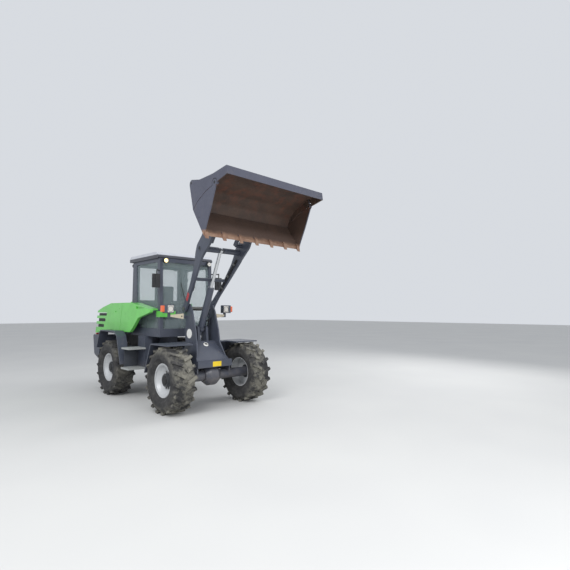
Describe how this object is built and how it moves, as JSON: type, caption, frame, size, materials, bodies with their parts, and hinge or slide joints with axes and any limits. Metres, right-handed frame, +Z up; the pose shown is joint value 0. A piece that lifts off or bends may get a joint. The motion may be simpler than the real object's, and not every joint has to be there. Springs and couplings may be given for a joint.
{
  "type": "wheel loader",
  "caption": "Compact articulated wheel loader with enclosed cab, rear engine hood, raised lift arms and a multi-purpose bucket with an opening jaw, shown in its dumping position.",
  "frame": {"origin": "on the ground, at the middle of the length from counterweight to raised bucket, on the machine's centre plane", "axes": "+X points to the front of the machine, +Y to its left, +Z up"},
  "size_m": [5.4501, 1.93, 3.6636],
  "materials": {
    "body_paint": null,
    "dark_paint": null,
    "tread_paint": null,
    "trim_black": null,
    "lamp_lens": null,
    "lamp_orange": null,
    "lamp_red": null,
    "roof_paint": null,
    "rim_paint": null,
    "bucket_paint": null,
    "pin_steel": null,
    "rod_chrome": null,
    "tyre_rubber": null,
    "pane_glass": null,
    "seat_fabric": null,
    "cab_plastic": null
  },
  "bodies": {
    "root": {"rear_frame": "dark_paint", "frame_pins": "pin_steel", "counterweight": "dark_paint", "cowl": "body_paint", "engine": "dark_paint", "cab_frame": "dark_paint", "cab_roof": "roof_paint", "windscreen": "pane_glass", "rear_window": "pane_glass", "side_window": "pane_glass", "seat_base": "dark_paint", "seat": "seat_fabric", "steering_column": "cab_plastic", "rear_fender": "dark_paint", "side_tank": "dark_paint", "steps": "tread_paint", "rear_axle": "dark_paint", "work_lamps": "trim_black", "work_lenses": "lamp_lens", "tail_lamp": "lamp_red", "mirror": "trim_black"},
    "front": {"front_frame": "dark_paint", "front_pins": "pin_steel", "headlight": "dark_paint", "headlight_lens": "lamp_lens", "indicator": "lamp_orange", "front_fender": "dark_paint", "front_axle": "dark_paint"},
    "wheel_fl": {"tyre_front_left": "tyre_rubber", "rim_front_left": "rim_paint"},
    "wheel_fr": {"tyre_front_right": "tyre_rubber", "rim_front_right": "rim_paint"},
    "wheel_rl": {"tyre_rear_left": "tyre_rubber", "rim_rear_left": "rim_paint"},
    "wheel_rr": {"tyre_rear_right": "tyre_rubber", "rim_rear_right": "rim_paint"},
    "arm": {"lift_arm": "dark_paint", "tilt_barrels": "dark_paint"},
    "lift_barrel_body": {"lift_barrel": "dark_paint"},
    "lift_rod_body": {"lift_rod": "rod_chrome"},
    "bucket_pins_body": {"bucket_pins": "pin_steel"},
    "bucket": {"bucket_back": "bucket_paint", "jaw_pins": "pin_steel", "hitch": "dark_paint"},
    "jaw": {"bucket_jaw": "bucket_paint"},
    "lever_pins_body": {"lever_pins": "pin_steel"},
    "levers_body": {"levers": "dark_paint"},
    "link_pins_body": {"link_pins": "pin_steel"},
    "links_body": {"links": "dark_paint"},
    "tilt_rods_body": {"tilt_rods": "rod_chrome"},
    "door_body": {"door": "dark_paint", "door_glass": "pane_glass"},
    "hood_body": {"hood": "body_paint", "grille": "trim_black"},
    "steer_barrel_l": {"steer_barrel_left": "dark_paint"},
    "steer_barrel_r": {"steer_barrel_right": "dark_paint"},
    "steer_rod_l": {"steer_rod_left": "rod_chrome"},
    "steer_rod_r": {"steer_rod_right": "rod_chrome"}
  },
  "joints": [
    {"name": "wheel_fl_spin", "type": "hinge", "parent": "front", "child": "wheel_fl", "pos_m": [0.93931, 0.765, 0.535], "axis": [0, 1, 0], "continuous": true},
    {"name": "wheel_fr_spin", "type": "hinge", "parent": "front", "child": "wheel_fr", "pos_m": [0.93931, -0.765, 0.535], "axis": [0, 1, 0], "continuous": true},
    {"name": "wheel_rl_spin", "type": "hinge", "parent": "root", "child": "wheel_rl", "pos_m": [-1.32069, 0.765, 0.535], "axis": [0, 1, 0], "continuous": true},
    {"name": "wheel_rr_spin", "type": "hinge", "parent": "root", "child": "wheel_rr", "pos_m": [-1.32069, -0.765, 0.535], "axis": [0, 1, 0], "continuous": true},
    {"name": "steering", "type": "hinge", "parent": "root", "child": "front", "pos_m": [-0.19069, 0, 0.7], "axis": [0, 0, 1], "range_deg": [-40, 40]},
    {"name": "lift", "type": "hinge", "parent": "front", "child": "arm", "pos_m": [0.51931, 0, 1.7], "axis": [0, -1, 0], "range_deg": [-97, 3]},
    {"name": "lift_barrel_turn", "type": "hinge", "parent": "front", "child": "lift_barrel_body", "pos_m": [0.60931, 0, 1.33], "axis": [0, -1, 0], "range_deg": [-94.38, 2.92]},
    {"name": "lift_rod_slide", "type": "slide", "parent": "lift_barrel_body", "child": "lift_rod_body", "axis": [0.3989, 0, 0.917], "range_m": [-0.56799, 0.01757]},
    {"name": "bucket_pins_turn", "type": "hinge", "parent": "arm", "child": "bucket_pins_body", "pos_m": [1.81644, 0, 3.55801], "axis": [0, -1, 0], "range_deg": [-3, 97]},
    {"name": "tilt", "type": "hinge", "parent": "bucket_pins_body", "child": "bucket", "pos_m": [1.81644, 0, 3.55801], "axis": [0, 1, 0], "range_deg": [-95, 2]},
    {"name": "jaw_open", "type": "hinge", "parent": "bucket", "child": "jaw", "pos_m": [2.43811, 0, 3.43484], "axis": [0, -1, 0], "range_deg": [0, 60]},
    {"name": "lever_pins_turn", "type": "hinge", "parent": "arm", "child": "lever_pins_body", "pos_m": [1.6241, 0, 3.28251], "axis": [0, -1, 0], "range_deg": [-3, 97]},
    {"name": "levers_turn", "type": "hinge", "parent": "lever_pins_body", "child": "levers_body", "pos_m": [1.6241, 0, 3.28251], "axis": [0, 1, 0], "range_deg": [-95, 2]},
    {"name": "link_pins_turn", "type": "hinge", "parent": "levers_body", "child": "link_pins_body", "pos_m": [1.74633, 0, 3.35077], "axis": [0, 1, 0], "range_deg": [-2, 95]},
    {"name": "links_turn", "type": "hinge", "parent": "link_pins_body", "child": "links_body", "pos_m": [1.74633, 0, 3.35077], "axis": [0, -1, 0], "range_deg": [-97, 3]},
    {"name": "tilt_rods_slide", "type": "slide", "parent": "arm", "child": "tilt_rods_body", "axis": [0.5724, 0, 0.82], "range_m": [-0.09003, 0.0019]},
    {"name": "door_turn", "type": "hinge", "parent": "root", "child": "door_body", "pos_m": [-0.90269, 0.58, 1.9], "axis": [0, 0, 1], "range_deg": [0, 85]},
    {"name": "hood_lift", "type": "hinge", "parent": "root", "child": "hood_body", "pos_m": [-1.13169, 0, 1.836], "axis": [0, 1, 0], "range_deg": [0, 50]},
    {"name": "steer_barrel_l_turn", "type": "hinge", "parent": "root", "child": "steer_barrel_l", "pos_m": [-0.81069, 0.3, 0.7], "axis": [0, 0, 1], "range_deg": [-11.44, 11.44]},
    {"name": "steer_rod_l_slide", "type": "slide", "parent": "steer_barrel_l", "child": "steer_rod_l", "axis": [0.9998, -0.0222, 0], "range_m": [-0.19408, 0.19408]},
    {"name": "steer_barrel_r_turn", "type": "hinge", "parent": "root", "child": "steer_barrel_r", "pos_m": [-0.81069, -0.3, 0.7], "axis": [0, 0, 1], "range_deg": [-11.44, 11.44]},
    {"name": "steer_rod_r_slide", "type": "slide", "parent": "steer_barrel_r", "child": "steer_rod_r", "axis": [0.9998, 0.0222, 0], "range_m": [-0.19408, 0.19408]}
  ],
  "couplings": [
    {"joint": "lift_barrel_turn", "follows": "lift", "ratio": 0.973},
    {"joint": "lift_rod_slide", "follows": "lift", "m_per_rad": 0.3355},
    {"joint": "bucket_pins_turn", "follows": "lift", "ratio": -1},
    {"joint": "lever_pins_turn", "follows": "lift", "ratio": -1},
    {"joint": "links_turn", "follows": "lift", "ratio": 1},
    {"joint": "levers_turn", "follows": "tilt", "ratio": 1},
    {"joint": "link_pins_turn", "follows": "tilt", "ratio": -1},
    {"joint": "tilt_rods_slide", "follows": "tilt", "m_per_rad": 0.0543},
    {"joint": "steer_barrel_l_turn", "follows": "steering", "ratio": 0.286},
    {"joint": "steer_barrel_r_turn", "follows": "steering", "ratio": 0.286},
    {"joint": "steer_rod_l_slide", "follows": "steering", "m_per_rad": -0.278},
    {"joint": "steer_rod_r_slide", "follows": "steering", "m_per_rad": 0.278}
  ]
}
